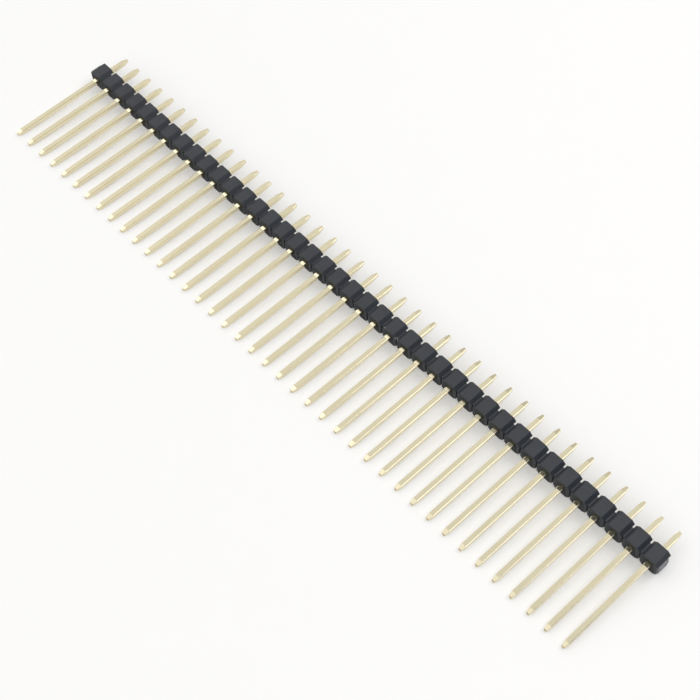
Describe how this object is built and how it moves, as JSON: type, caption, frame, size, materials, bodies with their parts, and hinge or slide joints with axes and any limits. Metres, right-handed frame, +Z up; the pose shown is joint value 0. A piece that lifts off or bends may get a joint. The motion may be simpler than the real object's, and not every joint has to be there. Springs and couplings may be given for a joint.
{
  "type": "pin header strip",
  "caption": "Straight in-line pin header: square plated pins pressed through a snap-apart strip of octagonal plastic blocks, with long posts on one side and short tails on the other.",
  "frame": {"origin": "on the surface the strip lies on, under the middle of its bounding box", "axes": "+X along the strip from pin_01 to pin_40, +Y towards the short tails, -Y towards the long posts, +Z up from the surface"},
  "size_m": [0.1016, 0.0186, 0.0027],
  "materials": {
    "housing_plastic": "matte moulded black",
    "pin_plating": "satin pale gold plating"
  },
  "bodies": {
    "root": {"housing": "housing_plastic", "pin_01": "pin_plating", "pin_02": "pin_plating", "pin_03": "pin_plating", "pin_04": "pin_plating", "pin_05": "pin_plating", "pin_06": "pin_plating", "pin_07": "pin_plating", "pin_08": "pin_plating", "pin_09": "pin_plating", "pin_10": "pin_plating", "pin_11": "pin_plating", "pin_12": "pin_plating", "pin_13": "pin_plating", "pin_14": "pin_plating", "pin_15": "pin_plating", "pin_16": "pin_plating", "pin_17": "pin_plating", "pin_18": "pin_plating", "pin_19": "pin_plating", "pin_20": "pin_plating", "pin_21": "pin_plating", "pin_22": "pin_plating", "pin_23": "pin_plating", "pin_24": "pin_plating", "pin_25": "pin_plating", "pin_26": "pin_plating", "pin_27": "pin_plating", "pin_28": "pin_plating", "pin_29": "pin_plating", "pin_30": "pin_plating", "pin_31": "pin_plating", "pin_32": "pin_plating", "pin_33": "pin_plating", "pin_34": "pin_plating", "pin_35": "pin_plating", "pin_36": "pin_plating", "pin_37": "pin_plating", "pin_38": "pin_plating", "pin_39": "pin_plating", "pin_40": "pin_plating"}
  },
  "joints": []
}
